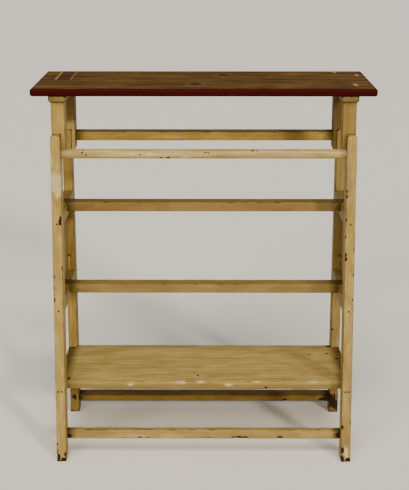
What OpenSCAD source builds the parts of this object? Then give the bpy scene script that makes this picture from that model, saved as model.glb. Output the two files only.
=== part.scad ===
// Free-standing painted rack: a planked top on two end frames, joined by rails and a shelf.
// Millimetres. X runs along the rails, the front faces -Y, the floor is Z = 0.

/* [Top] */
// Length of the top planks
top_l = 974; // [900:1:1000]
// Depth of the top over both planks
top_d = 393; // [380:1:400]
// Thickness of the top planks
top_t = 22; // [18:1:26]
// Height of the top surface above the floor
top_z = 1088; // [1060:1:1120]
// Radius of the bull nose round the top
nose_r = 8; // [4:0.5:9]
// Height of the moulded bearer under each end of the top
bearer_h = 17; // [16:1:22]

/* [End frames] */
// Width of the rack over the outer faces of the legs
rack_w = 865; // [820:1:880]
// Thickness of a leg across the rack
leg_t = 28; // [24:1:32]
// Depth of a leg, front to back
leg_d = 54; // [48:1:58]
// Height of the tops of the front legs, where they lap the posts
leg_top_z = 957; // [950:1:970]
// Height of the tops of the rear legs
rear_leg_top_z = 925; // [922:1:945]
// How far the front foot stands in front of the leg's top
splay = 94; // [80:1:100]
// Width of a post across the rack
post_w = 38.5; // [36:0.5:42]
// Front of the front foot, behind the origin
foot_y = -246; // [-250:1:-240]

/* [Rails and shelf] */
// Diameter of the round front rail
round_rail_d = 27; // [22:1:30]
// Height of the axis of the round front rail
round_rail_z = 905; // [895:1:912]
// Height of the top of the upper side stretchers
upper_z = 737; // [720:1:750]
// Height of the top of the lower side stretchers
lower_z = 484; // [470:1:500]
// Height of a side stretcher
stretcher_h = 45; // [40:1:55]
// Height of the top of the shelf
shelf_z = 225; // [210:1:240]
// Thickness of the shelf
shelf_t = 24; // [20:1:28]

/* [Fastenings] */
// Diameter of the nails
nail_d = 4; // [3:0.5:5]
// Diameter of the wood screws
screw_d = 4.5; // [4:0.5:6]

/* [Hidden] */
$fn = 48;

cream = [0.74, 0.63, 0.42];
dull_cream = [0.66, 0.56, 0.38];
stained = [0.45, 0.32, 0.21];
iron = [0.16, 0.13, 0.11];
gap = 0.05;                                  // clearance round a nail, screw or tenon
reach = 5;                                   // how far a cutting shape runs past a face

// Heights and places across the rack
top_under = top_z - top_t;
bearer_z = top_under - bearer_h;
leg_out = rack_w / 2;
leg_in = leg_out - leg_t;
post_out = leg_out - 2;
post_in = post_out - post_w;
leg_mid = (leg_in + leg_out) / 2;

// Places front to back
slope = splay / leg_top_z;                   // Y gained per unit of height on a front leg
leg_run = leg_d * sqrt(1 + slope * slope);   // a front leg's depth measured level
back_y = -foot_y;                            // back edge of the top
top_y = back_y - top_d;
seam_y = back_y - top_d / 2;
post_y = -136;                               // front face of a front post
post_d = 46;
rear_post_y = 125;
rear_post_d = 52;
rear_leg_y = rear_post_y - 2;
bearer_y = post_y - 9;

// The upper and lower rails lie flat, halved over the side stretchers
rail_y = -37;
rail_d = 48;
rail_t = 28;
half_t = rail_t / 2;
tenon_l = 12;

// The round rail's tenons, the flat rear rail and the two foot rails
round_rail_y = post_y - round_rail_d / 2;
round_tenon_d = 11;
rear_rail_z = 891;
rear_rail_t = 27;
rear_foot_z = 36;
rear_foot_t = 21;
front_foot_z = 55;
front_foot_t = 29;
front_foot_y = -203;
front_foot_d = 18;

// Bottoms of the posts' tongues
front_tongue_z = 894;
rear_tongue_z = 860;

// The thin panels between the stretchers, and the block in the corner behind each
panel_t = 6;
panel_x = leg_out - panel_t - 1;
corner_w = 10;
corner_d = 22;
corner_h = 49;

// Where the fastenings go, and how far each bites into the second piece
plank_screw_y = [-60, 20, 80, 105];
plank_bite = 13;
lap_screw_z = [917, 940];
rear_lap_screw_z = [874, 889];
lap_bite = 9;
stretcher_bite = 38;
stretcher_nail_drop = stretcher_h * 0.7;
shelf_bite = 30;
shelf_nail_x = [leg_in + 9, leg_in + 19];
rail_nail_l = 32;
rail_nail_y = [rail_y + 14, rail_y + rail_d - 14];
foot_bite = 34;
head_l = screw_d * 0.6;                      // height of a screw's countersunk head

function front_leg_y(z) = foot_y + slope * z;
function back_of_leg(z) = front_leg_y(z) + leg_run;

// An outline of [Y, Z] points pushed along X from x to x + w
module across(x, w) {
    translate([x, 0, 0])
        rotate([90, 0, 90])
            linear_extrude(w)
                children();
}

// An outline of [X, Z] points pushed along Y from y to y + d
module through(y, d) {
    translate([0, y + d, 0])
        rotate([90, 0, 0])
            linear_extrude(d)
                children();
}

module block(x, y, z, w, d, h) {
    translate([x, y, z])
        cube([w, d, h]);
}

// What is cut off a square corner at [u, v] to leave a round of radius r; su and sv point outwards
module round_off(u, v, r, su, sv) {
    translate([u, v])
        scale([su, sv])
            difference() {
                translate([-r, -r])
                    square(r + reach);
                translate([-r, -r])
                    circle(r);
            }
}

// Level rods along X, Y and Z, each starting at a point
module rod_x(x, y, z, r, l) {
    translate([x, y, z])
        rotate([0, 90, 0])
            cylinder(r = r, h = l);
}

module rod_y(x, y, z, r, l) {
    translate([x, y, z])
        rotate([-90, 0, 0])
            cylinder(r = r, h = l);
}

module rod_z(x, y, z, r, l) {
    translate([x, y, z])
        cylinder(r = r, h = l);
}

// The left-hand pieces are the right-hand ones mirrored
module on_side(side) {
    if (side > 0) children();
    else mirror([1, 0, 0]) children();
}

module both_sides() {
    for (side = [-1, 1]) on_side(side) children();
}

// ---- Fastenings: each is drawn once, and cut from the pieces with a little clearance ----

bearer_mid = (post_in + post_out) / 2;
top_screw_l = bearer_h + plank_bite;

// Two screws into each plank, up through the right-hand bearer
module side_top_screws(extra) {
    for (y = plank_screw_y)
        union() {
            rod_z(bearer_mid, y, bearer_z, screw_d / 2 + extra, top_screw_l);
            translate([bearer_mid, y, bearer_z])
                cylinder(r1 = screw_d + extra, r2 = screw_d / 2 + extra, h = head_l);
        }
}

// Two screws through the lap of each right-hand leg, into the tongue of its post
module side_lap_screws(extra) {
    lap_l = leg_t + lap_bite;
    for (at = concat([for (z = lap_screw_z) [front_leg_y(z) + leg_run * 0.62, z]],
            [for (z = rear_lap_screw_z) [rear_leg_y + leg_d / 2, z]]))
        union() {
            rod_x(leg_out - lap_l, at[0], at[1], screw_d / 2 + extra, lap_l);
            translate([leg_out - head_l, at[0], at[1]])
                rotate([0, 90, 0])
                    cylinder(r1 = screw_d / 2 + extra, r2 = screw_d + extra, h = head_l);
        }
}

// Nails along Y through a leg into the end of a piece behind or in front of it
module nail_through_front_leg(z, x, l, extra) {
    intersection() {
        rod_y(x, front_leg_y(z) - reach, z, nail_d / 2 + extra, l + reach);
        across(x - reach, 2 * reach)
            polygon([[front_leg_y(0), 0], [front_leg_y(0) + top_d, 0],
                [front_leg_y(leg_top_z) + top_d, leg_top_z], [front_leg_y(leg_top_z), leg_top_z]]);
    }
}

module nail_through_rear_leg(z, x, l, extra) {
    rod_y(x, rear_leg_y + leg_d - l, z, nail_d / 2 + extra, l);
}

module side_stretcher_nails(extra) {
    for (top = [upper_z, lower_z]) {
        nail_through_front_leg(top - stretcher_nail_drop, leg_mid, leg_run + stretcher_bite, extra);
        nail_through_rear_leg(top - stretcher_nail_drop, leg_mid, leg_d + stretcher_bite, extra);
    }
}

module side_shelf_nails(extra) {
    for (x = shelf_nail_x) {
        nail_through_front_leg(shelf_z - shelf_t / 2, x, leg_run + shelf_bite, extra);
        nail_through_rear_leg(shelf_z - shelf_t / 2, x, leg_d + shelf_bite, extra);
    }
}

// One nail down through the halved end of each rail
module side_rail_nails(extra) {
    for (top = [upper_z, lower_z])
        for (y = rail_nail_y)
            rod_z(leg_mid, y, top - rail_nail_l, nail_d / 2 + extra, rail_nail_l);
}

// One nail through each post or leg into the end of each flat rail
module side_foot_rail_nails(extra) {
    for (at = [[rear_leg_y + leg_d / 2, rear_foot_z + rear_foot_t / 2],
            [front_foot_y + front_foot_d / 2, front_foot_z + front_foot_t / 2],
            [rear_post_y + rear_post_d / 2, rear_rail_z + rear_rail_t / 2]])
        rod_x(leg_in - foot_bite, at[0], at[1], nail_d / 2 + extra, leg_t + foot_bite);
}

// ---- Pieces ----

// The whole top, rounded on its four outer edges by two crossing bull-nosed outlines
module top_board() {
    intersection() {
        across(-top_l / 2, top_l)
            difference() {
                translate([top_y, top_under])
                    square([top_d, top_t]);
                for (v = [[top_under, -1], [top_z, 1]]) {
                    round_off(top_y, v[0], nose_r, -1, v[1]);
                    round_off(back_y, v[0], nose_r, 1, v[1]);
                }
            }
        through(top_y, top_d)
            difference() {
                translate([-top_l / 2, top_under])
                    square([top_l, top_t]);
                for (v = [[top_under, -1], [top_z, 1]]) {
                    round_off(-top_l / 2, v[0], nose_r, -1, v[1]);
                    round_off(top_l / 2, v[0], nose_r, 1, v[1]);
                }
            }
    }
}

module plank(y, d) {
    color(stained)
        difference() {
            intersection() {
                top_board();
                block(-top_l, y, top_under - reach, 2 * top_l, d, top_t + 2 * reach);
            }
            both_sides() side_top_screws(gap);
        }
}

module top_front_plank() {
    plank(top_y - reach, seam_y - top_y + reach);
}

module top_rear_plank() {
    plank(seam_y, back_y - seam_y + reach);
}

// A batten along each end under the top, rounded below, with a socket for each post's tenon
module top_bearer(side) {
    round_r = 7;
    bearer_in = post_in - 6;
    bearer_out = post_out + 6;
    bearer_l = rear_post_y + rear_post_d - bearer_y + 9;
    color(cream)
        on_side(side)
            difference() {
                intersection() {
                    through(bearer_y, bearer_l)
                        difference() {
                            translate([bearer_in, bearer_z])
                                square([bearer_out - bearer_in, bearer_h]);
                            round_off(bearer_in, bearer_z, round_r, -1, -1);
                            round_off(bearer_out, bearer_z, round_r, 1, -1);
                        }
                    across(bearer_in - reach, bearer_out - bearer_in + 2 * reach)
                        difference() {
                            translate([bearer_y, bearer_z])
                                square([bearer_l, bearer_h]);
                            round_off(bearer_y, bearer_z, round_r, -1, -1);
                            round_off(bearer_y + bearer_l, bearer_z, round_r, 1, -1);
                        }
                }
                post_tenon(post_y, post_d, gap);
                post_tenon(rear_post_y, rear_post_d, gap);
                side_top_screws(gap);
            }
}

// The stub tenon on top of a post
module post_tenon(y, d, extra) {
    block(post_in + 12 - extra, y + 8 - extra, bearer_z - extra, post_w - 24 + 2 * extra,
        d - 16 + 2 * extra, tenon_l + extra);
}

// A post with its outer part cut away below the leg's top, which leaves a tongue inside the leg
module post(y, d, shoulder_z, tongue_z, tip_r) {
    union() {
        through(y, d)
            difference() {
                union() {
                    translate([post_in, shoulder_z])
                        square([post_w, bearer_z - shoulder_z]);
                    translate([post_in, tongue_z])
                        square([leg_in - post_in, shoulder_z - tongue_z]);
                }
                round_off(post_in, tongue_z, tip_r, -1, -1);
            }
        post_tenon(y, d, 0);
    }
}

module front_post(side) {
    color(cream)
        on_side(side)
            difference() {
                post(post_y, post_d, leg_top_z, front_tongue_z, 6);
                side_lap_screws(gap);
            }
}

module rear_post(side) {
    color(cream)
        on_side(side)
            difference() {
                post(rear_post_y, rear_post_d, rear_leg_top_z, rear_tongue_z, 10);
                side_lap_screws(gap);
                side_foot_rail_nails(gap);
            }
}

module front_leg(side) {
    color(cream)
        on_side(side)
            difference() {
                intersection() {
                    across(leg_in, leg_t)
                        polygon([[front_leg_y(0), 0], [back_of_leg(0), 0],
                            [back_of_leg(leg_top_z), leg_top_z],
                            [front_leg_y(leg_top_z), leg_top_z]]);
                    through(foot_y - reach, 2 * leg_d + splay)
                        difference() {
                            translate([leg_in, 0])
                                square([leg_t, leg_top_z]);
                            round_off(leg_out, leg_top_z, 7, 1, 1);
                        }
                }
                rod_x(leg_in - reach, round_rail_y, round_rail_z, round_tenon_d / 2 + gap,
                    tenon_l + reach);
                foot_rail_tenon(gap);
                side_lap_screws(gap);
                side_stretcher_nails(gap);
                side_shelf_nails(gap);
                side_foot_rail_nails(gap);
            }
}

module rear_leg(side) {
    color(dull_cream)
        on_side(side)
            difference() {
                block(leg_in, rear_leg_y, 0, leg_t, leg_d, rear_leg_top_z);
                rear_foot_tenon(gap);
                side_lap_screws(gap);
                side_stretcher_nails(gap);
                side_shelf_nails(gap);
                side_foot_rail_nails(gap);
            }
}

// A side stretcher from the back of the front leg to the front of the rear leg,
// with a notch in its top for the end of the rail that crosses it
module stretcher(top) {
    difference() {
        across(leg_in, leg_t)
            polygon([[back_of_leg(top), top], [back_of_leg(top - stretcher_h), top - stretcher_h],
                [rear_leg_y, top - stretcher_h], [rear_leg_y, top]]);
        block(leg_in - reach, rail_y - 0.5, top - half_t, leg_t + 2 * reach, rail_d + 1,
            half_t + reach);
        side_stretcher_nails(gap);
        side_rail_nails(gap);
    }
}

module upper_stretcher(side) {
    color(dull_cream) on_side(side) stretcher(upper_z);
}

module lower_stretcher(side) {
    color(dull_cream) on_side(side) stretcher(lower_z);
}

// A thin panel that closes each end between the two stretchers
module end_panel(side) {
    low = lower_z;
    high = upper_z - stretcher_h;
    color(dull_cream)
        on_side(side)
            across(panel_x, panel_t)
                polygon([[back_of_leg(low), low], [back_of_leg(high), high],
                    [rear_leg_y, high], [rear_leg_y, low]]);
}

// A block glued in the corner of the panel and the rear leg, standing on the lower stretcher
module corner_block(side) {
    color(dull_cream)
        on_side(side)
            block(panel_x - corner_w, rear_leg_y - corner_d, lower_z, corner_w, corner_d, corner_h);
}

// A flat rail with halved ends that lie in the notches of the stretchers
module crossing_rail(top) {
    union() {
        block(-leg_in, rail_y, top - rail_t, 2 * leg_in, rail_d, rail_t);
        block(-leg_out + 1, rail_y, top - half_t, rack_w - 2, rail_d, half_t);
    }
}

module middle_rail() {
    color(dull_cream)
        difference() {
            crossing_rail(upper_z);
            both_sides() side_rail_nails(gap);
        }
}

module lower_rail() {
    color(dull_cream)
        difference() {
            crossing_rail(lower_z);
            both_sides() side_rail_nails(gap);
        }
}

module upper_rear_rail() {
    color(dull_cream)
        difference() {
            block(-post_in, rear_post_y + 3, rear_rail_z, 2 * post_in, rail_d, rear_rail_t);
            both_sides() side_foot_rail_nails(gap);
        }
}

// The round rail in front of the posts, with a round tenon into each front leg
module upper_front_rail() {
    color(cream)
        union() {
            rod_x(-leg_in, round_rail_y, round_rail_z, round_rail_d / 2, 2 * leg_in);
            rod_x(-leg_in - tenon_l, round_rail_y, round_rail_z, round_tenon_d / 2,
                2 * (leg_in + tenon_l));
        }
}

module shelf() {
    front = back_of_leg(shelf_z);
    notch_y = rear_leg_y;
    back = rear_leg_y + 15;
    color(cream)
        difference() {
            across(-leg_out + 1, rack_w - 2)
                polygon([[front, shelf_z], [back_of_leg(shelf_z - shelf_t), shelf_z - shelf_t],
                    [back, shelf_z - shelf_t], [back, shelf_z]]);
            both_sides() {
                block(leg_in, notch_y, shelf_z - shelf_t - reach, 2 * leg_t, 2 * leg_d,
                    shelf_t + 2 * reach);
                side_shelf_nails(gap);
            }
        }
}

// Stub tenons of the two foot rails
module rear_foot_tenon(extra) {
    block(leg_in - reach, rear_leg_y + 12 - extra, rear_foot_z + 5 - extra, tenon_l + reach,
        leg_d - 24 + 2 * extra, rear_foot_t - 10 + 2 * extra);
}

module foot_rail_tenon(extra) {
    block(leg_in - reach, front_foot_y + 4 - extra, front_foot_z + 5 - extra, tenon_l + reach,
        front_foot_d - 8 + 2 * extra, front_foot_t - 10 + 2 * extra);
}

module rear_foot_rail() {
    color(dull_cream)
        difference() {
            union() {
                block(-leg_in, rear_leg_y + 4, rear_foot_z, 2 * leg_in, leg_d - 8, rear_foot_t);
                both_sides() rear_foot_tenon(0);
            }
            both_sides() side_foot_rail_nails(gap);
        }
}

module front_foot_rail() {
    color(dull_cream)
        difference() {
            union() {
                block(-leg_in, front_foot_y, front_foot_z, 2 * leg_in, front_foot_d, front_foot_t);
                both_sides() foot_rail_tenon(0);
            }
            both_sides() side_foot_rail_nails(gap);
        }
}

module top_screws() {
    color(iron) both_sides() side_top_screws(0);
}

module lap_screws() {
    color(iron) both_sides() side_lap_screws(0);
}

module stretcher_nails() {
    color(iron) both_sides() side_stretcher_nails(0);
}

module shelf_nails() {
    color(iron) both_sides() side_shelf_nails(0);
}

module rail_nails() {
    color(iron) both_sides() side_rail_nails(0);
}

module foot_rail_nails() {
    color(iron) both_sides() side_foot_rail_nails(0);
}

top_front_plank();
top_rear_plank();
top_bearer(-1);  // left_top_bearer
top_bearer(1);  // right_top_bearer
front_post(-1);  // left_front_post
front_post(1);  // right_front_post
rear_post(-1);  // left_rear_post
rear_post(1);  // right_rear_post
front_leg(-1);  // left_front_leg
front_leg(1);  // right_front_leg
rear_leg(-1);  // left_rear_leg
rear_leg(1);  // right_rear_leg
upper_stretcher(-1);  // left_upper_stretcher
upper_stretcher(1);  // right_upper_stretcher
lower_stretcher(-1);  // left_lower_stretcher
lower_stretcher(1);  // right_lower_stretcher
end_panel(-1);  // left_end_panel
end_panel(1);  // right_end_panel
corner_block(-1);  // left_corner_block
corner_block(1);  // right_corner_block
upper_rear_rail();
upper_front_rail();
middle_rail();
lower_rail();
shelf();
rear_foot_rail();
front_foot_rail();
top_screws();
lap_screws();
stretcher_nails();
shelf_nails();
rail_nails();
foot_rail_nails();
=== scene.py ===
import math

import bpy
import numpy as np
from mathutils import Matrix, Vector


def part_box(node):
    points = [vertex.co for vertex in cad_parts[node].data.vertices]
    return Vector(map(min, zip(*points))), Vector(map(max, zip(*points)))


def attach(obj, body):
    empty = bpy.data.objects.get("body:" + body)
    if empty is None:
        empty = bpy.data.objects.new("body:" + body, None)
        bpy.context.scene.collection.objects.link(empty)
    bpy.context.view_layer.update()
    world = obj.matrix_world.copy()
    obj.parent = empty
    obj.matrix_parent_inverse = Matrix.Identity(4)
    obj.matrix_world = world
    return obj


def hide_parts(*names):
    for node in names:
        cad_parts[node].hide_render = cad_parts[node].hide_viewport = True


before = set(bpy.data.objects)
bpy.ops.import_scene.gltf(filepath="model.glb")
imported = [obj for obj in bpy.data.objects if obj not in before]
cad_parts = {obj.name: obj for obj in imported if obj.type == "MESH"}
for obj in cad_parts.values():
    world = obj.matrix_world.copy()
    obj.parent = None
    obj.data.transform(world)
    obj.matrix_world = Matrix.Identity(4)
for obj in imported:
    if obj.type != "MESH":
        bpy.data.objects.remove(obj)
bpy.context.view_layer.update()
MM = 0.001


# ---- The four legs ----
# Planed softwood, 28 by 54 mm, under old cream oil paint. The front pair lean back from the foot to
# the lap, with their outer top corners rounded; the rear pair stand upright. Hard use has worn the
# arrises and the feet down to dark wood.

LEG_DEPTH = 54 * MM
LEG_CORNER = 7 * MM
FOOT_CORNER = 4 * MM
FAR = 10.0                                   # a limit well outside the rack


def smooth(values, start, end):
    """0 before start, 1 after end, and a soft step between."""
    t = np.clip((values - start) / (end - start), 0, 1)
    return t * t * (3 - 2 * t)


def lumps(points, size, seed):
    """Smooth random lumps from 0 to 1, each about size across; size may differ along X, Y and Z."""
    grid = points / np.asarray(size)
    cell = np.floor(grid).astype(np.int64)
    t = grid - cell
    t = t * t * (3 - 2 * t)
    total = np.zeros(len(points))
    for corner in np.ndindex(2, 2, 2):
        key = (cell + corner) @ np.array([73856093, 19349663, 83492791]) + seed * 6542989
        key = (key ^ (key >> 13)) * 1274126177 & 0x7FFFFFFF
        weight = np.prod(np.where(corner, t, 1 - t), axis=1)
        total += weight * ((key ^ (key >> 15)) & 0xFFFF) / 0xFFFF
    return total


def stations(limits, ease, pitch, extra):
    """Where a timber's surface is divided along one axis: at its limits, closely beside each for
    the eased arris, and no more than a pitch apart between them."""
    limits = sorted(set(round(float(v), 6) for v in limits))
    wanted = [v + sign * ease * part for v in limits for sign in (-1, 1) for part in (0.3, 0.65, 1)]
    wanted += list(extra)
    for low, high in zip(limits, limits[1:]):
        parts = max(1, math.ceil((high - low) / pitch))
        wanted += [low + (high - low) * i / parts for i in range(1, parts)]
    kept = list(limits)
    for v in wanted:
        if limits[0] < v < limits[-1] and min(abs(v - k) for k in kept) > ease * 0.24:
            kept.append(v)
    return np.array(sorted(kept))


def skin(boxes, lines):
    """The outer surface of several boxes taken together, as points and outward-facing quads."""
    middles = np.meshgrid(*[(line[1:] + line[:-1]) / 2 for line in lines], indexing="ij")
    solid = np.zeros(middles[0].shape, bool)
    for low, high in boxes:
        inside = [(m > low[axis]) & (m < high[axis]) for axis, m in enumerate(middles)]
        solid |= inside[0] & inside[1] & inside[2]
    solid = np.pad(solid, 1)
    counts = [len(line) for line in lines]
    quads = []
    for axis in range(3):
        side, up = (axis + 1) % 3, (axis + 2) % 3
        here = np.moveaxis(solid, axis, 0)
        for facing in (1, -1):
            before, after = (here[:-1], here[1:]) if facing > 0 else (here[1:], here[:-1])
            found = np.argwhere(np.moveaxis(before & ~after, 0, axis))
            others = [a for a in range(3) if a != axis]
            found[:, others] -= 1
            steps = [(0, 0), (1, 0), (1, 1), (0, 1)][::facing]
            corners = []
            for s, u in steps:
                corner = found.copy()
                corner[:, side] += s
                corner[:, up] += u
                corners.append(np.ravel_multi_index(corner.T, counts))
            quads.append(np.stack(corners, axis=1))
    quads = np.concatenate(quads)
    used, index = np.unique(quads, return_inverse=True)
    where = np.stack(np.unravel_index(used, counts), axis=1)
    points = np.stack([lines[axis][where[:, axis]] for axis in range(3)], axis=1)
    return points, index.reshape(quads.shape)


def nearest_core(points, boxes, inset):
    """For each point, the nearest point of the boxes shrunk by inset, and how near an arris it is."""
    best = np.full(len(points), np.inf)
    core = points.copy()
    near = np.full(len(points), np.inf)
    for low, high in boxes:
        low, high = np.array(low), np.array(high)
        depth = np.minimum(inset, (high - low) * 0.49)
        target = np.clip(points, low + depth, high - depth)
        away = np.linalg.norm(points - target, axis=1)
        edge = np.linalg.norm((points - target) / depth, axis=1)
        closer = away < best - 1e-9
        core[closer] = target[closer]
        best = np.minimum(best, away)
        near = np.minimum(near, (edge - 1) / (math.sqrt(2) - 1))
    return core, np.clip(near, 0, 1.3)


def round_corner(points, low, high, radius):
    """Rounds the box from low to high by radius; a side at FAR stays as it is."""
    target = np.clip(points, np.array(low) + radius, np.array(high) - radius)
    away = points - target
    length = np.linalg.norm(away, axis=1)
    outside = length > radius
    points[outside] = target[outside] + away[outside] * (radius / length[outside])[:, None]


def timber(name, boxes, grain=2, ease=1.5 * MM, pitch=6 * MM, rounds=(), chips=(), wear=1.0,
           seed=0, lean=None, rough=0.7 * MM):
    """A piece of old timber: boxes that overlap, with eased and worn arrises. rounds are larger
    rounded corners, chips are (place, radius, depth) of listed damage, and lean moves the
    points of a piece that isn't square. The surface keeps how near an arris it is, and how bare."""
    boxes = [(np.array(low, float), np.array(high, float)) for low, high in boxes]
    lines = []
    for axis in range(3):
        extra = []
        if axis == grain:
            extra = [c[0][axis] + c[1] * step for c in chips for step in (-1, -0.5, 0, 0.5, 1)]
        for low, high, radius in rounds:
            for limit, sign in ((low[axis], 1), (high[axis], -1)):
                if abs(limit) < FAR:
                    extra += [limit + sign * radius * (1 - math.cos(k * math.pi / 12))
                              for k in range(1, 7)]
        limits = [corner[axis] for box in boxes for corner in box]
        lines.append(stations(limits, ease, pitch, extra))
    points, quads = skin(boxes, lines)
    core, arris = nearest_core(points, boxes, 7 * MM)
    core, _ = nearest_core(points, boxes, ease)
    away = points - core
    length = np.linalg.norm(away, axis=1)
    points = core + away * np.minimum(1, ease / np.maximum(length, 1e-9))[:, None]
    for low, high, radius in rounds:
        round_corner(points, low, high, radius)
    inward = core - points
    inward /= np.maximum(np.linalg.norm(inward, axis=1), 1e-9)[:, None]
    stretch = np.full(3, 7 * MM)
    stretch[grain] = 24 * MM
    worn = smooth(lumps(points, stretch, seed + 1), 0.66 - 0.1 * wear, 0.86) * np.minimum(arris, 1) ** 2
    depth = rough * worn * wear + 0.14 * MM * lumps(points, stretch * 4, seed + 2)
    bare = worn * 0.5
    if lean:
        points = lean(points)
    for place, radius, hollow in chips:
        gap = points - np.array(place)
        gap[:, grain] *= 0.75
        hit = smooth(1 - np.linalg.norm(gap, axis=1) / radius, 0.0, 0.55)
        depth += hollow * hit
        bare = np.maximum(bare, hit)
    points = points + inward * depth[:, None]
    mesh = bpy.data.meshes.new(name)
    mesh.from_pydata(points.tolist(), [], quads.tolist())
    for label, values in (("arris", arris), ("bare", bare)):
        layer = mesh.attributes.new(label, "FLOAT", "POINT")
        layer.data.foreach_set("value", values.astype(np.float32))
    mesh.polygons.foreach_set("use_smooth", [True] * len(mesh.polygons))
    mesh.set_sharp_from_angle(angle=math.radians(48))
    piece = bpy.data.objects.new(name, mesh)
    bpy.context.scene.collection.objects.link(piece)
    return piece


def colour(code):
    """A paint or stain from its sRGB hex code, as the linear colour that a shader takes."""
    parts = [int(code[i:i + 2], 16) / 255 for i in (1, 3, 5)]
    linear = [p / 12.92 if p <= 0.04045 else ((p + 0.055) / 1.055) ** 2.4 for p in parts]
    return (*linear, 1.0)


def add(tree, kind, feeds=None, **settings):
    """Adds a node to a tree. feeds gives each input socket a number, a colour or another socket."""
    made = tree.nodes.new(kind)
    for key, value in settings.items():
        setattr(made, key, value)
    for socket, value in (feeds or {}).items():
        if isinstance(value, bpy.types.NodeSocket):
            tree.links.new(value, made.inputs[socket])
        else:
            made.inputs[socket].default_value = value
    return made


def blend(tree, share, under, over):
    """One colour laid over another; share is how much of the upper one shows, from 0 to 1."""
    return add(tree, "ShaderNodeMix", {0: share, 6: under, 7: over}, data_type="RGBA").outputs[2]


def reckon(tree, operation, *values):
    """One step of arithmetic between numbers or sockets."""
    return add(tree, "ShaderNodeMath", dict(enumerate(values)), operation=operation).outputs[0]


def ramp(tree, value, start, end, low=0.0, high=1.0, curve="LINEAR"):
    """Goes from low to high while a value goes from start to end, and stays level outside them."""
    feeds = {"Value": value, "From Min": start, "From Max": end, "To Min": low, "To Max": high}
    return add(tree, "ShaderNodeMapRange", feeds, interpolation_type=curve).outputs[0]


def noise(tree, place, scale, detail, roughness=0.5):
    """A cloudy pattern, finer with a larger scale and more broken up with more detail."""
    feeds = {"Vector": place, "Scale": scale, "Detail": detail, "Roughness": roughness}
    return add(tree, "ShaderNodeTexNoise", feeds).outputs["Fac"]


def away_from(tree, place, spot, squeeze):
    """How far a point is from a spot; a squeeze under 1 stretches the mark along that axis."""
    away = add(tree, "ShaderNodeVectorMath", {0: place, 1: spot}, operation="SUBTRACT").outputs[0]
    away = add(tree, "ShaderNodeVectorMath", {0: away, 1: squeeze}, operation="MULTIPLY").outputs[0]
    return add(tree, "ShaderNodeVectorMath", {0: away}, operation="LENGTH").outputs["Value"]


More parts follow.
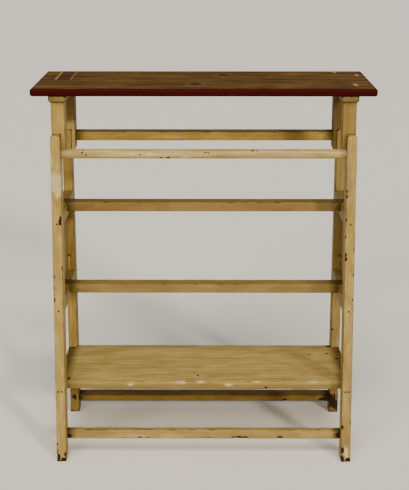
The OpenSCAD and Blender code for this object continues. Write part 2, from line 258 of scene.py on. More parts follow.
def cream_paint(name, grain, pale, dull, loss=0.0, grime=1.0, gloss=0.46, sheen=0.1, spots=(), rubs=(),
                filler=None, feet=False, corners=None, top_shadow_from=None, damp_and_shade_below=None, front=None):
    """Oil paint brushed along the grain of softwood, decades old. The eye sees soft yellowed
    patches, streaks from 1 to 15 mm wide, brown dirt towards the arrises, and hard-edged losses
    that show dark wood. Grain is drawn a little coarser than real, so that it shows. grain is the
    axis the wood runs along, pale and dull are the paint's two tones, loss and grime are how much
    more paint has gone and how dirty it is at the arrises, gloss is how rough the film is and
    sheen how strongly it reflects. spots are (place, radius) of dark losses and rubs of pale ones;
    filler is the height range of a grey filled stretch, feet wears the bottom, corners is how far
    out along X a rail meets its legs, where the paint is darkened as dirt and painted shade,
    top_shadow_from is the height above which the paint is darkened as the painted shadow of the
    top, damp_and_shade_below is the height below which the paint is darkened and by how much, as
    damp on the front legs and as painted shade of the shelf on the rear legs, and front is how
    far back, along Y, the front face is darkened as painted shade."""
    made = bpy.data.materials.new(name)
    made.use_nodes = True
    tree = made.node_tree
    shader = tree.nodes["Principled BSDF"]
    shader.inputs["Specular IOR Level"].default_value = sheen
    place = add(tree, "ShaderNodeTexCoord").outputs["Object"]
    axes = add(tree, "ShaderNodeSeparateXYZ", {0: place}).outputs
    along = [1.0, 1.0, 1.0]
    along[grain] = 0.045
    drawn = add(tree, "ShaderNodeMapping", {"Vector": place, "Scale": along}).outputs[0]
    along[grain] = 0.4
    flaked = add(tree, "ShaderNodeMapping", {"Vector": place, "Scale": along}).outputs[0]
    arris = add(tree, "ShaderNodeAttribute", attribute_name="arris").outputs["Fac"]
    bare = add(tree, "ShaderNodeAttribute", attribute_name="bare").outputs["Fac"]

    patches = noise(tree, flaked, 22.0, 5.0, 0.62)
    bands = noise(tree, drawn, 75.0, 3.0, 0.6)
    streaks = noise(tree, drawn, 230.0, 4.0, 0.7)
    flakes = noise(tree, flaked, 120.0, 6.0, 0.62)
    fine = noise(tree, place, 420.0, 2.0)

    tone = ramp(tree, patches, 0.36, 0.62, curve="SMOOTHSTEP")
    paint = blend(tree, tone, colour(dull), colour(pale))
    for pattern, strength in ((bands, 0.32), (streaks, 0.55)):
        streak = ramp(tree, pattern, 0.36, 0.62, low=strength, high=0.0)
        paint = blend(tree, streak, paint, colour("#7C6028"))

    # Painted shade: the front face is darker than the top.
    if front:
        front_shade = ramp(tree, axes[1], front + 1 * MM, front - 1 * MM, high=0.8)
        paint = blend(tree, front_shade, paint, colour("#6C5628"))

    near = reckon(tree, "MULTIPLY", arris, flakes)
    dirt_and_shade = ramp(tree, near, 0.2, 0.62, high=0.75 * grime, curve="SMOOTHSTEP")
    # Dirt and painted shade darken the paint where a rail meets its legs.
    if corners:
        out = reckon(tree, "ABSOLUTE", axes[0])
        out = reckon(tree, "MULTIPLY_ADD", flakes, 24 * MM, out)
        corner = ramp(tree, out, corners - 18 * MM, corners + 8 * MM, high=0.9)
        dirt_and_shade = reckon(tree, "MAXIMUM", dirt_and_shade, corner)
    # Darker below a height: damp on the front legs, painted shade of the shelf on the rear legs.
    if damp_and_shade_below:
        damp_and_shade_mask = ramp(tree, axes[2], damp_and_shade_below[0] + 6 * MM, damp_and_shade_below[0] - 30 * MM, high=damp_and_shade_below[1])
        dirt_and_shade = reckon(tree, "MAXIMUM", dirt_and_shade, damp_and_shade_mask)
    # Painted shadow of the top: the paint goes darker above a height.
    if top_shadow_from:
        up = reckon(tree, "MULTIPLY_ADD", flakes, 20 * MM, axes[2])
        high = ramp(tree, up, top_shadow_from + 4 * MM, top_shadow_from + 16 * MM, high=0.6)
        dirt_and_shade = reckon(tree, "MAXIMUM", dirt_and_shade, high)
    # The dark brown of dirt at the arrises, with painted shade in the corners, under the top and below the
    # shelf.
    paint = blend(tree, dirt_and_shade, paint, colour("#463410"))
    speck = ramp(tree, fine, 0.66, 0.74, high=0.55)
    paint = blend(tree, speck, paint, colour("#463412"))
    if filler:
        ragged = reckon(tree, "MULTIPLY_ADD", flakes, 30 * MM, axes[2])
        above = ramp(tree, ragged, filler[0] + 12 * MM, filler[0] + 17 * MM)
        below = ramp(tree, ragged, filler[1] + 20 * MM, filler[1] + 2 * MM, high=0.75)
        filled = reckon(tree, "MULTIPLY", above, below)
        paint = blend(tree, filled, paint, colour("#BCAA80"))
    for spot, radius in rubs:
        squeeze = [0.4 if axis == grain else 1.0 for axis in range(3)]
        away = away_from(tree, place, spot, squeeze)
        ragged = reckon(tree, "MULTIPLY_ADD", fine, -2.2 * radius, away)
        rub = ramp(tree, ragged, -0.35 * radius, -0.6 * radius, high=0.6)
        paint = blend(tree, rub, paint, colour("#D0BE90"))

    worn = reckon(tree, "MULTIPLY_ADD", arris, 0.32 + loss, flakes)
    worn = reckon(tree, "MULTIPLY_ADD", bare, 0.72, worn)
    if feet:
        trodden = ramp(tree, axes[2], 46 * MM, 2 * MM, high=0.24)
        worn = reckon(tree, "ADD", worn, trodden)
    for spot, radius in spots:
        away = add(tree, "ShaderNodeVectorMath", {0: place, 1: spot}, operation="DISTANCE").outputs["Value"]
        mark = ramp(tree, away, radius, 0.2 * radius, high=0.62)
        worn = reckon(tree, "ADD", worn, mark)
    lost = ramp(tree, worn, 0.86, 0.93, curve="SMOOTHSTEP")
    wood = blend(tree, streaks, colour("#0E0703"), colour("#3C2410"))
    finish = blend(tree, lost, paint, wood)
    tree.links.new(finish, shader.inputs["Base Color"])

    shine = ramp(tree, lost, 0.0, 1.0, low=gloss, high=0.8)
    shine = reckon(tree, "MULTIPLY_ADD", patches, 0.2, shine)
    tree.links.new(shine, shader.inputs["Roughness"])
    film = reckon(tree, "MULTIPLY_ADD", lost, -1.0, streaks)
    bump = add(tree, "ShaderNodeBump", {"Strength": 0.7, "Distance": 0.5 * MM, "Height": film})
    tree.links.new(bump.outputs[0], shader.inputs["Normal"])
    return made


def lean_back(foot, slope):
    """Leans a leg built upright from Y = 0: its front face starts at foot and runs back with height."""
    def move(points):
        moved = points.copy()
        moved[:, 1] += foot + slope * points[:, 2]
        return moved
    return move


leg_low, leg_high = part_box("right_front_leg")
LEG_IN, LEG_OUT, LEG_TOP = leg_low.x, leg_high.x, leg_high.z
FOOT_Y = leg_low.y
slope = (leg_high.y - leg_low.y - LEG_DEPTH) / LEG_TOP
LEG_RUN = LEG_DEPTH * math.sqrt(1 + slope * slope)
slope = (leg_high.y - leg_low.y - LEG_RUN) / LEG_TOP


def leg_back(z):
    """Y of the back face of a front leg at a height."""
    return FOOT_Y + slope * z + LEG_RUN


def chip(side, out, z, radius, depth=1.0):
    """A chip in a front leg: out runs from 0 at its inner face to 1 at its outer face."""
    x = side * (LEG_IN + out * (LEG_OUT - LEG_IN))
    return ((x, FOOT_Y + slope * z, z), radius * MM, depth * MM)


front_leg_chips = {
    -1: [chip(-1, 0.08, 0.724, 5, 1.6), chip(-1, 0.10, 0.716, 6, 2.2), chip(-1, 0.12, 0.707, 6, 2),
         chip(-1, 0.02, 0.578, 4), chip(-1, 0.95, 0.553, 5), chip(-1, 0.95, 0.520, 4),
         chip(-1, 0.97, 0.486, 6), chip(-1, 0.95, 0.054, 5), chip(-1, 0.96, 0.033, 5),
         chip(-1, 0.86, 0.015, 9, 1.5), chip(-1, 0.3, 0.004, 9), chip(-1, 0.05, 0.022, 6)],
    1: [chip(1, 0.02, 0.800, 5, 1.4), chip(1, 0.03, 0.785, 6, 1.4), chip(1, 0.03, 0.719, 4),
        chip(1, 0.02, 0.670, 4), chip(1, 0.03, 0.618, 6, 1.4), chip(1, 0.04, 0.606, 7, 1.6),
        chip(1, 0.97, 0.633, 5), chip(1, 0.96, 0.560, 5), chip(1, 0.97, 0.487, 5),
        chip(1, 0.97, 0.122, 5), chip(1, 0.03, 0.107, 7), chip(1, 0.14, 0.036, 9, 1.4),
        chip(1, 0.1, 0.010, 9), chip(1, 0.7, 0.004, 9)],
}
FRONT_DAMP = (0.22, 0.14)                    # height of the damp's line, and how dark it is
# Painted shade of the shelf on the rear legs: the height below which they darken, and how dark.
REAR_SHELF_SHADE = (0.2, 0.5)
FILLED = (0.798, 0.852)                      # bottom and top of the filled stretch
leg_paints = {
    -1: cream_paint("cream_oil_paint_on_left_leg", 2, "#B89E59", "#9E8447", damp_and_shade_below=FRONT_DAMP,
                    loss=-0.05, feet=True, filler=FILLED,
                    rubs=[chip(-1, 0.4, 0.790, 7)[:2], chip(-1, 0.02, 0.792, 6)[:2]]),
    1: cream_paint("cream_oil_paint_on_right_leg", 2, "#AE9455", "#927A44", damp_and_shade_below=FRONT_DAMP,
                   loss=-0.04, feet=True,
                   rubs=[chip(1, 0.5, 0.034, 9)[:2], chip(1, 0.6, 0.020, 8)[:2]]),
}
rear_leg_paints = {
    -1: cream_paint("yellowed_paint_on_left_rear_leg", 2, "#A68C46", "#8A7234", damp_and_shade_below=REAR_SHELF_SHADE,
                    loss=0.02, grime=1.2, feet=True,
                    spots=[((-0.418, 0.123, 0.052), 16 * MM), ((-0.418, 0.123, 0.47), 9 * MM)]),
    1: cream_paint("yellowed_paint_on_right_rear_leg", 2, "#A08850", "#86703A", damp_and_shade_below=REAR_SHELF_SHADE,
                   loss=0.03, grime=1.3, feet=True,
                   spots=[((0.412, 0.123, 0.050), 26 * MM), ((0.424, 0.123, 0.026), 20 * MM),
                          ((0.411, 0.123, 0.479), 9 * MM), ((0.408, 0.123, 0.283), 6 * MM)]),
}
for side, word in ((-1, "left"), (1, "right")):
    node = word + "_front_leg"
    inner, outer = sorted((side * LEG_IN, side * LEG_OUT))
    corner_low = (-LEG_OUT, -FAR, -FAR)
    corner_high = (LEG_OUT, FAR, LEG_TOP)
    foot_corners = ((inner, -FAR, 0), (outer, FAR, FAR), FOOT_CORNER)
    leg = timber(node + "_timber", [((inner, 0, 0), (outer, LEG_RUN, LEG_TOP))], seed=3 + side,
                 rounds=[(corner_low, corner_high, LEG_CORNER), foot_corners], chips=front_leg_chips[side],
                 lean=lean_back(FOOT_Y, slope))
    leg.data.materials.append(leg_paints[side])
    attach(leg, "root")
    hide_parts(node)

    node = word + "_rear_leg"
    low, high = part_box(node)
    leg = timber(node + "_timber", [(low, high)], seed=13 + side, wear=1.2)
    leg.data.materials.append(rear_leg_paints[side])
    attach(leg, "root")
    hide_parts(node)


# ---- The four posts ----
# Each post is one length of softwood. It is full width above the leg's top, and is cut back below it
# to a tongue that laps the leg's inner face and ends in a rounded tip. A stub tenon on top is glued
# into the bearer.

TENON_ACROSS = 12 * MM                       # from the post's sides to the tenon's
TENON_ALONG = 8 * MM
TIP_RADIUS = {"front": 6 * MM, "rear": 10 * MM}
TOP_SHADOW_FROM = 0.95                             # height above which the painted shadow of the top begins

post_paint = cream_paint("cream_paint_on_posts", 2, "#B49A54", "#957B3C", grime=1.2)
# The right front post's paint is darker than the left one's.
right_post_paint = cream_paint("darker_paint_on_right_front_post", 2, "#8A703A", "#70592C", grime=1.3)
# The right rear post's paint is darkened all over as painted shade.
right_rear_shade_paint = cream_paint("painted_shade_on_right_rear_post", 2, "#53401C", "#403012", loss=0.03)
# The left rear post carries the painted shadow of the top on its upper end.
left_rear_paint = cream_paint("cream_paint_with_top_shadow_on_left_rear_post", 2, "#AE9450", "#90763A", grime=1.2,
                              top_shadow_from=TOP_SHADOW_FROM)
post_paints = {("left", "front"): post_paint, ("left", "rear"): left_rear_paint,
               ("right", "front"): right_post_paint, ("right", "rear"): right_rear_shade_paint}
bearer_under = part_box("right_top_bearer")[0].z
for side, word in ((-1, "left"), (1, "right")):
    for end in ("front", "rear"):
        node = f"{word}_{end}_post"
        low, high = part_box(node)
        inner_x, outer_x = (low.x, high.x) if side > 0 else (high.x, low.x)
        lap_x = side * LEG_IN
        shoulder = [sorted((inner_x, outer_x)), sorted((inner_x, lap_x))]
        leg_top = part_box(f"{word}_{end}_leg")[1].z
        block = ((shoulder[0][0], low.y, leg_top), (shoulder[0][1], high.y, bearer_under))
        tongue = ((shoulder[1][0], low.y, low.z), (shoulder[1][1], high.y, bearer_under))
        tenon = ((shoulder[0][0] + TENON_ACROSS, low.y + TENON_ALONG, leg_top + 20 * MM),
                 (shoulder[0][1] - TENON_ACROSS, high.y - TENON_ALONG, high.z))
        tip_low = (inner_x if side > 0 else -FAR, -FAR, low.z)
        tip_high = (FAR if side > 0 else inner_x, FAR, FAR)
        post = timber(node + "_timber", [block, tongue, tenon], seed=23 + side + len(end),
                      rounds=[(tip_low, tip_high, TIP_RADIUS[end])], wear=1.1)
        post.data.materials.append(post_paints[word, end])
        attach(post, "root")
        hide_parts(node)


# ---- Side stretchers, end panels and corner blocks ----
# A stretcher is nailed between the legs of each side at two heights, notched on top for the rail that
# crosses it. A thin panel closes the side between the two, with a glue block in its rear corner.

RAIL_HALF = 14 * MM                          # a rail is halved to this over a stretcher
NOTCH_ROOM = 0.5 * MM
panel_paint = cream_paint("dull_paint_on_side_timbers", 1, "#9A8045", "#806834", grime=1.3)


def meet_leg(points):
    """Brings the front end of a side timber up to the leaning back of the front leg."""
    moved = points.copy()
    at_end = points[:, 1] < points[:, 1].min() + 1.6 * MM
    moved[at_end, 1] += leg_back(points[at_end, 2]) - points[:, 1].min()
    return moved


def fit_panel(points):
    """Leans the front edge of a side panel with the leg, and leaves its rear edge upright."""
    moved = points.copy()
    front, rear = points[:, 1].min(), points[:, 1].max()
    part = (points[:, 1] - front) / (rear - front)
    moved[:, 1] = leg_back(points[:, 2]) * (1 - part) + rear * part
    return moved


for side, word in ((-1, "left"), (1, "right")):
    for level, rail in (("upper", "middle_rail"), ("lower", "lower_rail")):
        node = f"{word}_{level}_stretcher"
        low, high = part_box(node)
        rail_low, rail_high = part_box(rail)
        seat = high.z - RAIL_HALF
        beam = [((low.x, low.y, low.z), (high.x, high.y, seat)),
                ((low.x, low.y, low.z), (high.x, rail_low.y - NOTCH_ROOM, high.z)),
                ((low.x, rail_high.y + NOTCH_ROOM, low.z), (high.x, high.y, high.z))]
        stretcher = timber(node + "_timber", beam, grain=1, seed=33 + side + len(rail), lean=meet_leg)
        stretcher.data.materials.append(panel_paint)
        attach(stretcher, "root")
        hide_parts(node)

    node = word + "_end_panel"
    panel = timber(node + "_timber", [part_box(node)], grain=1, ease=0.8 * MM, pitch=9 * MM, seed=43 + side,
                   lean=fit_panel, rough=0.6 * MM)
    panel.data.materials.append(panel_paint)
    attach(panel, "root")
    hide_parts(node)

    node = word + "_corner_block"
    glue_block = timber(node + "_timber", [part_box(node)], pitch=3 * MM, seed=53 + side, wear=1.3)
    glue_block.data.materials.append(rear_leg_paints[side])
    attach(glue_block, "root")
    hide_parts(node)


# ---- The flat rails ----
# Softwood rails laid flat across the rack. The middle and lower ones are halved at each end over the
# stretchers; the upper rear one is nailed between the posts; the two foot rails have stub tenons.

FOOT_KNOCKS = {"rear_foot_rail": ((0.380, 14), (0.262, 8)),
               "front_foot_rail": ((0.090, 9), (0.104, 12), (0.124, 9), (0.227, 9), (-0.052, 5),
                                   (-0.165, 6), (-0.190, 7), (-0.236, 5), (0.015, 6))}
RAIL_MEETS = 0.402                           # how far out dirt and painted shade gather where rails meet legs
FOOT_RAIL_MEETS = 0.404
POST_MEETS = 0.388
rail_paints = {
    "middle_rail": cream_paint("cream_paint_on_middle_rail", 0, "#887040", "#725C30", grime=0.3,
                               corners=RAIL_MEETS, loss=-0.04),
    "lower_rail": cream_paint("cream_paint_on_lower_rail", 0, "#907844", "#7A6436", grime=0.3,
                              corners=RAIL_MEETS, loss=-0.04),
    # Paler paint on the upper rear rail: painted light against the shade of the top.
    "upper_rear_rail": cream_paint("paler_paint_as_painted_light_on_upper_rear_rail", 0, "#B4984E", "#9A7E3C",
                                   grime=0.4, corners=POST_MEETS, loss=-0.02),
}
foot_paint = cream_paint("scuffed_paint_on_foot_rail", 0, "#A68F59", "#8C7541", loss=0.05, grime=1.2,
                         corners=FOOT_RAIL_MEETS,
                         spots=[((0.400, -0.203, 0.066), 16 * MM), ((-0.398, -0.203, 0.066), 10 * MM),
                                ((0.227, -0.203, 0.059), 10 * MM)])
# The rear foot rail's dark paint is painted shade of the shelf above it.
rear_foot_shade_paint = cream_paint("dark_paint_as_shelf_shade_on_rear_foot_rail", 0, "#7A622A", "#5C4618", loss=0.05,
                              grime=1.3, corners=FOOT_RAIL_MEETS,
                              spots=[((0.398, 0.127, 0.048), 26 * MM),
                                     ((-0.398, 0.127, 0.046), 9 * MM),
                                     ((0.262, 0.127, 0.037), 9 * MM)])

for seed, node in ((63, "middle_rail"), (64, "lower_rail")):
    low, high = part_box(node)
    main = ((-LEG_IN, low.y, low.z), (LEG_IN, high.y, high.z))
    ends = ((low.x, low.y, high.z - RAIL_HALF), (high.x, high.y, high.z))
    rail = timber(node + "_timber", [main, ends], grain=0, ease=2.6 * MM, seed=seed)
    rail.data.materials.append(rail_paints[node])
    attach(rail, "root")
    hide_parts(node)

node = "upper_rear_rail"
rail = timber(node + "_timber", [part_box(node)], grain=0, ease=2.2 * MM, seed=65)
rail.data.materials.append(rail_paints[node])
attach(rail, "root")
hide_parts(node)

for seed, node, inset in ((66, "rear_foot_rail", 8 * MM), (67, "front_foot_rail", 4 * MM)):
    low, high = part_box(node)
    main = ((-LEG_IN, low.y, low.z), (LEG_IN, high.y, high.z))
    stub = ((low.x, low.y + inset, low.z + 5 * MM), (high.x, high.y - inset, high.z - 5 * MM))
    knocks = [((x, low.y, low.z + 1 * MM), r * MM, 1.2 * MM) for x, r in FOOT_KNOCKS[node]]
    rail = timber(node + "_timber", [main, stub], grain=0, ease=1.8 * MM, seed=seed, wear=1.3, chips=knocks)
    rail.data.materials.append(foot_paint if node == "front_foot_rail" else rear_foot_shade_paint)
    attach(rail, "root")
    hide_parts(node)


# ---- The round upper front rail ----
# A turned softwood rail, 27 mm thick, with an 11 mm round tenon into each front leg. It was rounded by
# hand, so it is never quite true, and cloths have rubbed its paint smooth.

ROUND_SIDES = 40
ROD_MEETS = 0.412                            # where dirt and painted shade gather beside the front legs
ROUND_PITCH = 4 * MM
TENON_RADIUS = 5.5 * MM
node = "upper_front_rail"
low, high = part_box(node)
axis_y, axis_z = (low.y + high.y) / 2, (low.z + high.z) / 2
radius = (high.z - low.z) / 2
count = math.ceil(2 * LEG_IN / ROUND_PITCH)
rings = [(low.x, 0.0), (low.x, TENON_RADIUS - 1 * MM), (low.x + 1 * MM, TENON_RADIUS),
         (-LEG_IN, TENON_RADIUS), (-LEG_IN, radius - 1 * MM), (-LEG_IN + 1 * MM, radius)]
rings += [(-LEG_IN + 2 * LEG_IN * i / count, radius) for i in range(1, count)]
rings += [(-x, r) for x, r in rings[5::-1]]
turns = np.linspace(0, 2 * math.pi, ROUND_SIDES, endpoint=False)
points, faces = [(low.x, axis_y, axis_z)], []
for i, (x, r) in enumerate(rings[1:-1]):
    ring = np.stack([np.full(ROUND_SIDES, x), axis_y + r * np.cos(turns),
                     axis_z + r * np.sin(turns)], axis=1)
    if r == radius:
        shrink = 1 - 0.022 * lumps(ring, (60 * MM, 12 * MM, 12 * MM), 71)
        ring[:, 1] = axis_y + (ring[:, 1] - axis_y) * shrink
        ring[:, 2] = axis_z + (ring[:, 2] - axis_z) * shrink
    points += ring.tolist()
points.append((high.x, axis_y, axis_z))
last = len(rings) - 3
for k in range(ROUND_SIDES):
    after = (k + 1) % ROUND_SIDES
    faces.append((0, 1 + after, 1 + k))
    for i in range(last):
        start = 1 + i * ROUND_SIDES
        faces.append((start + k, start + after, start + ROUND_SIDES + after, start + ROUND_SIDES + k))
    start = 1 + last * ROUND_SIDES
    faces.append((len(points) - 1, start + k, start + after))
mesh = bpy.data.meshes.new(node + "_timber")
mesh.from_pydata(points, [], faces)
mesh.polygons.foreach_set("use_smooth", [True] * len(mesh.polygons))
mesh.set_sharp_from_angle(angle=math.radians(48))
round_rail = bpy.data.objects.new(node + "_timber", mesh)
bpy.context.scene.collection.objects.link(round_rail)
rod_paint = cream_paint("rubbed_paint_on_round_rail", 0, "#C3AB6A", "#AB9152", gloss=0.4, sheen=0.4,
                        corners=ROD_MEETS,
                        spots=[((-0.342, -0.163, 0.910), 6 * MM), ((-0.331, -0.163, 0.904), 7 * MM),
                               ((-0.339, -0.156, 0.917), 6 * MM), ((-0.178, -0.163, 0.904), 5 * MM),
                               ((0.004, -0.161, 0.911), 7 * MM), ((0.013, -0.161, 0.910), 6 * MM),
                               ((-0.100, -0.159, 0.895), 8 * MM), ((-0.120, -0.159, 0.895), 6 * MM),
                               ((0.138, -0.158, 0.916), 7 * MM), ((0.150, -0.158, 0.916), 5 * MM)],
                        rubs=[((-0.151, -0.163, 0.907), 6 * MM), ((-0.050, -0.161, 0.898), 8 * MM),
                              ((-0.200, -0.163, 0.907), 5 * MM)])
round_rail.data.materials.append(rod_paint)
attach(round_rail, "root")
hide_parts(node)


# ---- The shelf ----
# One wide softwood board between the four legs, notched round the rear pair and nailed through all
# four. Its top is scuffed by what stood on it, and its rear corners are worn black.

SHELF_MEETS = 0.420                          # where dirt and painted shade gather between the legs
node = "shelf"
low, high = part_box(node)
rear_leg_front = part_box("right_rear_leg")[0].y
board = [((-LEG_IN, low.y, low.z), (LEG_IN, high.y, high.z)),
         ((low.x, low.y, low.z), (high.x, rear_leg_front, high.z))]
shelf = timber(node + "_timber", board, grain=0, ease=2.2 * MM, pitch=8 * MM, seed=83,
               lean=meet_leg, wear=1.1)
shelf_spots = [((0.396, 0.129, high.z), 17 * MM), ((0.426, 0.075, high.z), 14 * MM),
               ((0.385, 0.062, high.z), 9 * MM), ((0.412, 0.018, high.z), 12 * MM),
               ((0.405, 0.040, high.z), 7 * MM), ((0.330, 0.055, high.z), 7 * MM),
               ((0.420, -0.100, high.z), 15 * MM), ((-0.402, -0.150, high.z), 11 * MM),
               ((-0.416, 0.118, high.z), 9 * MM), ((-0.018, -0.125, high.z), 8 * MM),
               ((-0.030, -0.105, high.z), 6 * MM), ((0.184, low.y, 0.206), 7 * MM)]
shelf_rubs = [((-0.068, -0.170, 0.222), 9 * MM), ((0.073, -0.170, 0.214), 7 * MM),
              ((-0.215, -0.170, 0.214), 6 * MM), ((0.325, -0.168, 0.224), 7 * MM),
              ((-0.010, -0.170, 0.224), 8 * MM), ((0.160, -0.170, 0.224), 7 * MM)]
# The shelf's front face is darkened as painted shade, so the top reads paler than it.
shelf_paint = cream_paint("scuffed_paint_and_painted_shade_on_shelf", 0, "#C6AE68", "#B09652", gloss=0.5, grime=0.8,
                          corners=SHELF_MEETS, front=low.y + 2 * MM, spots=shelf_spots,
                          rubs=shelf_rubs)
shelf.data.materials.append(shelf_paint)
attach(shelf, "root")
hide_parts(node)


# ---- The bearers ----
# A moulded batten under each end of the top, rounded on its lower edges. The posts are tenoned into
# it, and screws go up through it into the planks.

BEARER_ROUND = 7 * MM
bearer_paint = cream_paint("cream_paint_on_bearers", 1, "#75623C", "#5C4A28", grime=1.4)
for side, word in ((-1, "left"), (1, "right")):
    node = word + "_top_bearer"
    low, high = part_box(node)
    bearer = timber(node + "_timber", [(low, high)], grain=1, ease=1.0 * MM, pitch=5 * MM, seed=93 + side,
                    rounds=[(low, (high.x, high.y, FAR), BEARER_ROUND)], rough=0.8 * MM)
    bearer.data.materials.append(bearer_paint)
    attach(bearer, "root")
    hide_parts(node)


# ---- The top ----
# Two softwood planks, bull-nosed round the outside, stained brown and once varnished. A dark red
# border was painted round the edge. Two knots show, a patch is let in near the left end, and the seam
# has opened.

NOSE_RADIUS = 8 * MM
front_low, front_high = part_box("top_front_plank")
rear_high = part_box("top_rear_plank")[1]
TOP_Z = front_high.z
KNOTS = (((-0.024, -0.045), 23 * MM), ((0.057, 0.150), 21 * MM))
# Each strip of the let-in patch: its left and right edge, its colour and how strongly it shows
PATCHES = ((-0.434, -0.395, "#4A1E08", 0.7), (-0.440, -0.434, "#A08650", 0.8),
           (-0.395, -0.390, "#8A6E3C", 0.7))
SMUDGES = (((0.461, 0.150), 8 * MM), ((0.434, -0.060), 10 * MM), ((0.400, 0.215), 8 * MM))


def stained_plank(name):
    """Brown spirit stain on softwood. The eye sees growth rings a few millimetres apart drawn out
    along the plank, a hard dark-red painted border, two grey knots, a let-in patch and pale rubbed
    marks."""
    made = bpy.data.materials.new(name)
    made.use_nodes = True
    tree = made.node_tree
    shader = tree.nodes["Principled BSDF"]
    shader.inputs["Specular IOR Level"].default_value = 0.05
    place = add(tree, "ShaderNodeTexCoord").outputs["Object"]
    drawn = add(tree, "ShaderNodeMapping", {"Vector": place, "Scale": (0.05, 1.0, 1.0)}).outputs[0]
    rings = add(tree, "ShaderNodeTexWave", {"Vector": drawn, "Scale": 26.0, "Distortion": 9.0,
                                            "Detail": 3.0, "Detail Scale": 2.2, "Detail Roughness": 0.6},
                bands_direction="Y").outputs["Fac"]
    streaks = noise(tree, drawn, 240.0, 4.0, 0.7)
    bands = noise(tree, drawn, 58.0, 3.0, 0.6)
    patches = noise(tree, place, 7.0, 4.0)
    flakes = noise(tree, place, 110.0, 5.0)

    wood = blend(tree, rings, colour("#7E5A1C"), colour("#AA8034"))
    faded = ramp(tree, patches, 0.35, 0.7, curve="SMOOTHSTEP")
    wood = blend(tree, faded, wood, colour("#764C14"))
    for pattern in (bands, streaks):
        streak = ramp(tree, pattern, 0.36, 0.64, low=0.85, high=0.0)
        wood = blend(tree, streak, wood, colour("#2E1A06"))

    axes = add(tree, "ShaderNodeSeparateXYZ", {0: place})
    for middle, reach in KNOTS:
        away = away_from(tree, place, (*middle, TOP_Z), (1.0, 0.55, 1.0))
        away = reckon(tree, "MULTIPLY_ADD", flakes, -reach, away)
        halo = ramp(tree, away, 1.1 * reach, 0.5 * reach, high=0.12)
        wood = blend(tree, halo, wood, colour("#8C7A48"))
        knot = ramp(tree, away, 0.5 * reach, 0.05 * reach, high=0.85)
        wood = blend(tree, knot, wood, colour("#2E2616"))
    behind = reckon(tree, "GREATER_THAN", axes.outputs[1], front_high.y)
    for left, right, shade, strength in PATCHES:
        start = reckon(tree, "GREATER_THAN", axes.outputs[0], left)
        stop = reckon(tree, "LESS_THAN", axes.outputs[0], right)
        both = reckon(tree, "MULTIPLY", start, stop)
        both = reckon(tree, "MULTIPLY", both, behind)
        both = reckon(tree, "MULTIPLY", both, strength)
        wood = blend(tree, both, wood, colour(shade))
    for middle, reach in SMUDGES:
        away = away_from(tree, place, (*middle, TOP_Z), (1.0, 0.25, 1.0))
        away = reckon(tree, "MULTIPLY_ADD", flakes, -reach, away)
        smudge = ramp(tree, away, 0.4 * reach, 0.0, high=0.7)
        wood = blend(tree, smudge, wood, colour("#A8946C"))
    across = reckon(tree, "SUBTRACT", axes.outputs[1], front_high.y)
    across = reckon(tree, "ABSOLUTE", across)
    seam = ramp(tree, across, 3.2 * MM, 1.2 * MM, high=0.75)
    wood = blend(tree, seam, wood, colour("#24140A"))
    end = reckon(tree, "ABSOLUTE", axes.outputs[0])
    end = reckon(tree, "MULTIPLY_ADD", flakes, 3 * MM, end)
    border = ramp(tree, end, front_high.x - 6 * MM, front_high.x - 5 * MM)
    edge = reckon(tree, "MULTIPLY_ADD", flakes, -2 * MM, axes.outputs[1])
    edge = ramp(tree, edge, front_low.y + 5 * MM, front_low.y + 4 * MM)
    side = ramp(tree, axes.outputs[2], TOP_Z - 1.2 * MM, TOP_Z - 2 * MM)
    border = reckon(tree, "MAXIMUM", border, edge)
    border = reckon(tree, "MAXIMUM", border, side)
    red = blend(tree, streaks, colour("#1C0000"), colour("#420600"))
    finish = blend(tree, border, wood, red)
    tree.links.new(finish, shader.inputs["Base Color"])
    shine = ramp(tree, flakes, 0.0, 1.0, low=0.42, high=0.62)
    tree.links.new(shine, shader.inputs["Roughness"])
    bump = add(tree, "ShaderNodeBump", {"Strength": 0.4, "Distance": 0.4 * MM, "Height": streaks})
    tree.links.new(bump.outputs[0], shader.inputs["Normal"])
    return made


def open_seam(points):
    """Eases the top of the two planks down where they meet, which leaves a groove."""
    moved = points.copy()
    near = np.exp(-np.abs(points[:, 1] - front_high.y) / (1.2 * MM))
    upper = smooth(points[:, 2], TOP_Z - 4 * MM, TOP_Z)
    moved[:, 2] -= 0.9 * MM * near * upper
    return moved


whole_low = (front_low.x, front_low.y, front_low.z)
whole_high = (front_high.x, rear_high.y, TOP_Z)
plank_stain = stained_plank("brown_stain_and_oxblood_border")
for seed, node in ((101, "top_front_plank"), (102, "top_rear_plank")):
    plank = timber(node + "_timber", [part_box(node)], grain=0, ease=0.8 * MM, pitch=9 * MM, seed=seed,
                   rounds=[(whole_low, whole_high, NOSE_RADIUS)], lean=open_seam, rough=0.5 * MM)
    plank.data.materials.append(plank_stain)
    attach(plank, "root")
    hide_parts(node)


# ---- Nails and screws ----
# Cut iron nails and countersunk wood screws, black with old rust. Their heads stand a hair proud of
# the paint. Each group comes from one Geometry Nodes tree fed with the places of its shanks.

HEAD_RISE = 0.35 * MM


def rods_of(node):
    """The two ends of every separate rod in a CAD node, the outer end first."""
    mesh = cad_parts[node].data
    keys = {}
    group = list(range(len(mesh.vertices)))

    def root(i):
        while group[i] != i:
            group[i] = group[group[i]]
            i = group[i]
        return i

    for v in mesh.vertices:
        spot = tuple(round(c * 20000) for c in v.co)
        keys.setdefault(spot, v.index)
        group[root(v.index)] = root(keys[spot])
    for edge in mesh.edges:
        a, b = edge.vertices
        group[root(a)] = root(b)
    islands = {}
    for v in mesh.vertices:
        islands.setdefault(root(v.index), []).append(v.co)
    rods = []
    for spots in islands.values():
        low, high = np.min(spots, axis=0), np.max(spots, axis=0)
        axis = int(np.argmax(high - low))
        ends = [(low + high) / 2, (low + high) / 2]
        ends[0][axis], ends[1][axis] = low[axis], high[axis]
        rods.append((axis, ends))
    return sorted(rods, key=lambda rod: tuple(rod[1][0]))


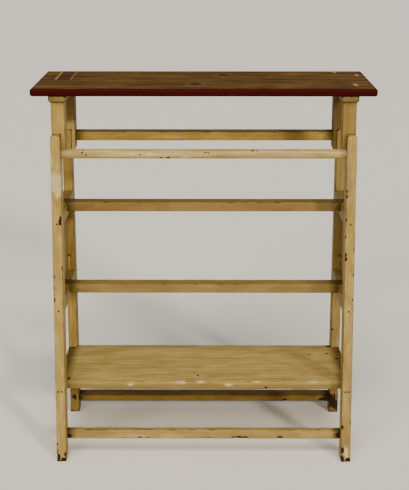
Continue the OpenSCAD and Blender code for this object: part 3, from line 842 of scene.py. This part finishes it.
def fastening_tree(name):
    """A Geometry Nodes tree that puts one nail or screw at each point, along its 'out' direction."""
    tree = bpy.data.node_groups.new(name, "GeometryNodeTree")
    face = tree.interface
    face.new_socket("Geometry", in_out="INPUT", socket_type="NodeSocketGeometry")
    for label in ("Shank Radius", "Length", "Head Radius", "Head Rise"):
        face.new_socket(label, in_out="INPUT", socket_type="NodeSocketFloat")
    face.new_socket("Finish", in_out="INPUT", socket_type="NodeSocketMaterial")
    face.new_socket("Geometry", in_out="OUTPUT", socket_type="NodeSocketGeometry")
    given = add(tree, "NodeGroupInput").outputs
    half = reckon(tree, "MULTIPLY", given["Length"], -0.5)
    down = add(tree, "ShaderNodeCombineXYZ", {"Z": half}).outputs[0]
    shank = add(tree, "GeometryNodeMeshCylinder", {"Vertices": 14, "Radius": given["Shank Radius"],
                                                   "Depth": given["Length"]}).outputs["Mesh"]
    shank = add(tree, "GeometryNodeTransform", {"Geometry": shank, "Translation": down}).outputs[0]
    flat = add(tree, "ShaderNodeCombineXYZ", {"X": given["Head Radius"], "Y": given["Head Radius"],
                                              "Z": given["Head Rise"]}).outputs[0]
    head = add(tree, "GeometryNodeMeshUVSphere",
               {"Segments": 14, "Rings": 8, "Radius": 1.0}).outputs["Mesh"]
    head = add(tree, "GeometryNodeTransform", {"Geometry": head, "Scale": flat}).outputs[0]
    nail = add(tree, "GeometryNodeJoinGeometry")
    tree.links.new(shank, nail.inputs[0])
    tree.links.new(head, nail.inputs[0])
    way = add(tree, "GeometryNodeInputNamedAttribute", {"Name": "out"}, data_type="FLOAT_VECTOR").outputs[0]
    turn = add(tree, "FunctionNodeAlignRotationToVector", {"Vector": way}, axis="Z").outputs[0]
    spots = add(tree, "GeometryNodeMeshToPoints", {"Mesh": given["Geometry"]}).outputs[0]
    placed = add(tree, "GeometryNodeInstanceOnPoints", {"Points": spots, "Instance": nail.outputs[0],
                                                        "Rotation": turn}).outputs[0]
    real = add(tree, "GeometryNodeRealizeInstances", {"Geometry": placed}).outputs[0]
    done = add(tree, "GeometryNodeSetMaterial", {"Geometry": real, "Material": given["Finish"]}).outputs[0]
    add(tree, "NodeGroupOutput", {"Geometry": done})
    return tree


def rusted_iron(name):
    """Wrought iron gone dark with rust. The eye sees near-black brown with orange-brown bloom and a
    rough, dull surface; the pitting is drawn at about 1 mm."""
    made = bpy.data.materials.new(name)
    made.use_nodes = True
    tree = made.node_tree
    shader = tree.nodes["Principled BSDF"]
    place = add(tree, "ShaderNodeTexCoord").outputs["Object"]
    bloom = noise(tree, place, 900.0, 4.0)
    rust = blend(tree, bloom, colour("#1B1512"), colour("#4E3222"))
    tree.links.new(rust, shader.inputs["Base Color"])
    shader.inputs["Metallic"].default_value = 0.35
    rough = ramp(tree, bloom, 0.0, 1.0, low=0.55, high=0.9)
    tree.links.new(rough, shader.inputs["Roughness"])
    bump = add(tree, "ShaderNodeBump", {"Strength": 0.5, "Distance": 0.2 * MM, "Height": bloom})
    tree.links.new(bump.outputs[0], shader.inputs["Normal"])
    return made


iron = rusted_iron("rusted_iron")
tree = fastening_tree("nail_or_screw")
# Each group's shank radius and head radius in millimetres
FASTENINGS = (("top_screws", 2.2, 4.4), ("lap_screws", 2.2, 4.4), ("stretcher_nails", 1.9, 3.0),
              ("shelf_nails", 1.9, 3.0), ("rail_nails", 1.9, 3.0), ("foot_rail_nails", 1.9, 3.0))
for node, shank, head in FASTENINGS:
    spots, ways, length = [], [], 0.0
    for axis, ends in rods_of(node):
        outward = node != "top_screws" and ends[1][axis] > 0
        tip, top = (ends[0], ends[1]) if outward else (ends[1], ends[0])
        way = np.zeros(3)
        way[axis] = 1.0 if outward else -1.0
        spots.append(top)
        ways.append(way)
        length = max(length, float(abs(top[axis] - tip[axis])))
    mesh = bpy.data.meshes.new(node + "_iron")
    mesh.from_pydata([tuple(s) for s in spots], [], [])
    layer = mesh.attributes.new("out", "FLOAT_VECTOR", "POINT")
    layer.data.foreach_set("vector", np.array(ways, np.float32).ravel())
    holder = bpy.data.objects.new(node + "_points", mesh)
    bpy.context.scene.collection.objects.link(holder)
    maker = holder.modifiers.new("fastenings", "NODES")
    maker.node_group = tree
    named = {item.name: item.identifier for item in tree.interface.items_tree if item.in_out == "INPUT"}
    maker[named["Shank Radius"]] = shank * MM
    maker[named["Length"]] = length - 0.2 * MM
    maker[named["Head Radius"]] = head * MM
    maker[named["Head Rise"]] = HEAD_RISE
    maker[named["Finish"]] = iron
    bpy.context.view_layer.update()
    shown = holder.evaluated_get(bpy.context.evaluated_depsgraph_get())
    made = bpy.data.meshes.new_from_object(shown)
    holder.modifiers.clear()
    bpy.data.objects.remove(holder)
    piece = bpy.data.objects.new(node + "_iron", made)
    bpy.context.scene.collection.objects.link(piece)
    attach(piece, "root")
    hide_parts(node)


# ---- Floor, light and camera ----
# A plain pale floor that runs out of sight, three studio lamps, a pale sky for fill, and a camera at a
# standing eye's height.

floor_mesh = bpy.data.meshes.new("floor")
floor_mesh.from_pydata([(-60, -60, 0), (60, -60, 0), (60, 60, 0), (-60, 60, 0)], [], [(0, 1, 2, 3)])
floor = bpy.data.objects.new("floor", floor_mesh)
bpy.context.scene.collection.objects.link(floor)
floor_paint = bpy.data.materials.new("pale_floor")
floor_paint.use_nodes = True
floor_paint.node_tree.nodes["Principled BSDF"].inputs["Base Color"].default_value = colour("#F4F0E6")
floor_paint.node_tree.nodes["Principled BSDF"].inputs["Roughness"].default_value = 0.8
floor_mesh.materials.append(floor_paint)

world = bpy.data.worlds.new("pale_sky")
bpy.context.scene.world = world
world.use_nodes = True
world.node_tree.nodes["Background"].inputs["Color"].default_value = colour("#F2F1EE")
world.node_tree.nodes["Background"].inputs["Strength"].default_value = 0.25

# The key lamp from the right, a softer one from the left and a broad one overhead, each at an angle
# round the rack from the front, a height above the floor, a spread and a strength
LAMPS = (("key_lamp", 29.2, 20.9, 7, 1.95), ("left_lamp", -30, 24, 20, 1.0),
         ("high_lamp", 0, 52, 30, 2.1))
for label, azimuth, elevation, spread, strength in LAMPS:
    lamp_data = bpy.data.lights.new(label, "SUN")
    lamp_data.energy = strength
    lamp_data.angle = math.radians(spread)
    lamp_data.color = (1.0, 0.96, 0.88)
    lamp = bpy.data.objects.new(label, lamp_data)
    lamp.rotation_euler = (math.radians(90 - elevation), 0, math.radians(azimuth))
    bpy.context.scene.collection.objects.link(lamp)

lens = bpy.data.cameras.new("camera")
lens.lens = 88.6
lens.sensor_width = 36
camera = bpy.data.objects.new("camera", lens)
camera.location = (0.0143, -3.5015, 1.5702)
camera.rotation_euler = (math.radians(90 - 15.549), 0, math.radians(0.203))
bpy.context.scene.collection.objects.link(camera)
bpy.context.scene.camera = camera
